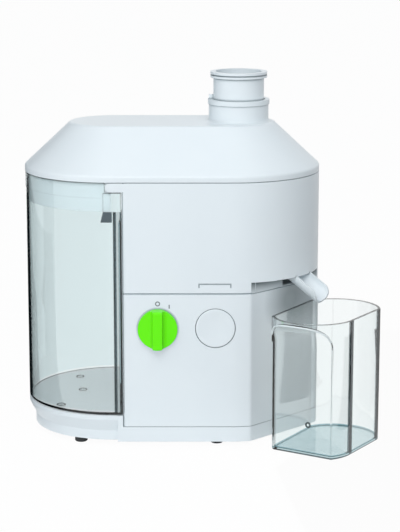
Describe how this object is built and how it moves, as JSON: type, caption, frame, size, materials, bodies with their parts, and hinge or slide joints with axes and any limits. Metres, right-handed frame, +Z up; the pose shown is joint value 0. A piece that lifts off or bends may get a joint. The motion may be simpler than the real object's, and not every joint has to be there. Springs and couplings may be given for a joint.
{
  "type": "centrifugal juicer",
  "caption": "Countertop centrifugal juicer: motor base, lift-off juice collector with spinning filter basket, lid with feed chute and pusher, clear pulp container and jug.",
  "frame": {"origin": "on the table, under the middle of the whole set of juicer and jug", "axes": "+Z up, -Y is the front with the controls, -X is the pulp container's side"},
  "size_m": [0.3473, 0.2219, 0.356],
  "materials": {
    "white_plastic": "moulded satin white",
    "clear_plastic": "clear moulded plastic",
    "green_plastic": "moulded bright green",
    "dark_plastic": "moulded black",
    "black_rubber": "moulded rubber",
    "stainless_steel": "brushed",
    "plated_steel": "zinc plated",
    "lamination_steel": "stacked laminations",
    "copper_winding": "varnished copper wire",
    "copper_bar": "turned copper",
    "cast_aluminium": "die cast",
    "carbon": "pressed carbon"
  },
  "bodies": {
    "motor_base": {"base_plate": "white_plastic", "rubber_feet": "black_rubber", "base_screws": "plated_steel", "motor_housing": "white_plastic", "shaft_seal": "black_rubber", "upper_bearing_bracket": "cast_aluminium", "lower_bearing_bracket": "cast_aluminium", "upper_bearing": "plated_steel", "lower_bearing": "plated_steel", "stator_core": "lamination_steel", "field_coils": "copper_winding", "motor_bolts": "plated_steel", "motor_mounts": "black_rubber", "mount_screws": "plated_steel", "carbon_brushes": "carbon", "brush_holders": "dark_plastic", "rotary_switch": "dark_plastic", "interlock_switch": "dark_plastic", "terminal_block": "white_plastic", "suppressor": "dark_plastic", "cord_inlet": "white_plastic"},
    "rotor": {"motor_shaft": "plated_steel", "armature_core": "lamination_steel", "armature_windings": "copper_winding", "commutator": "copper_bar", "cooling_fan": "dark_plastic", "drive_coupling": "white_plastic"},
    "juice_bowl": {"upper_housing": "white_plastic", "juice_collector": "white_plastic", "spout": "white_plastic"},
    "filter_basket": {"basket_hub": "white_plastic", "grater_disc": "stainless_steel", "filter_screen": "stainless_steel", "basket_rim": "white_plastic"},
    "lid": {"lid": "white_plastic", "feed_chute": "white_plastic"},
    "pusher": {"pusher": "white_plastic"},
    "pulp_container": {"pulp_container": "clear_plastic", "thumb_pad": "dark_plastic"},
    "control_knob": {"control_knob": "green_plastic", "knob_spindle": "plated_steel"},
    "release_button": {"release_button": "white_plastic", "release_catch": "white_plastic", "button_spring": "stainless_steel"},
    "juice_jug": {"juice_jug": "clear_plastic"}
  },
  "joints": [
    {"name": "rotor_spin", "type": "hinge", "parent": "motor_base", "child": "rotor", "pos_m": [0.0293, 0.0209, 0.1], "axis": [0, 0, 1], "continuous": true},
    {"name": "bowl_lift", "type": "slide", "parent": "motor_base", "child": "juice_bowl", "axis": [0, 0, 1], "range_m": [0, 0.1]},
    {"name": "basket_spin", "type": "hinge", "parent": "juice_bowl", "child": "filter_basket", "pos_m": [0.0293, 0.0209, 0.2], "axis": [0, 0, 1], "continuous": true},
    {"name": "lid_lift", "type": "slide", "parent": "juice_bowl", "child": "lid", "axis": [0, 0, 1], "range_m": [0, 0.12]},
    {"name": "pusher_slide", "type": "slide", "parent": "lid", "child": "pusher", "axis": [0, 0, 1], "range_m": [0, 0.12]},
    {"name": "container_slide", "type": "slide", "parent": "motor_base", "child": "pulp_container", "axis": [-1, 0, 0], "range_m": [0, 0.11]},
    {"name": "knob_turn", "type": "hinge", "parent": "motor_base", "child": "control_knob", "pos_m": [-0.0417, -0.0661, 0.1188], "axis": [0, 1, 0], "range_deg": [0, 30]},
    {"name": "button_press", "type": "slide", "parent": "motor_base", "child": "release_button", "axis": [0, 1, 0], "range_m": [0, 0.004], "stiffness_N_per_m": 400, "deforming": ["button_spring"]},
    {"name": "jug_slide", "type": "slide", "parent": "motor_base", "child": "juice_jug", "axis": [0.7071, -0.7071, 0], "range_m": [0, 0.15]}
  ],
  "couplings": [
    {"joint": "basket_spin", "follows": "rotor_spin", "ratio": 1}
  ]
}
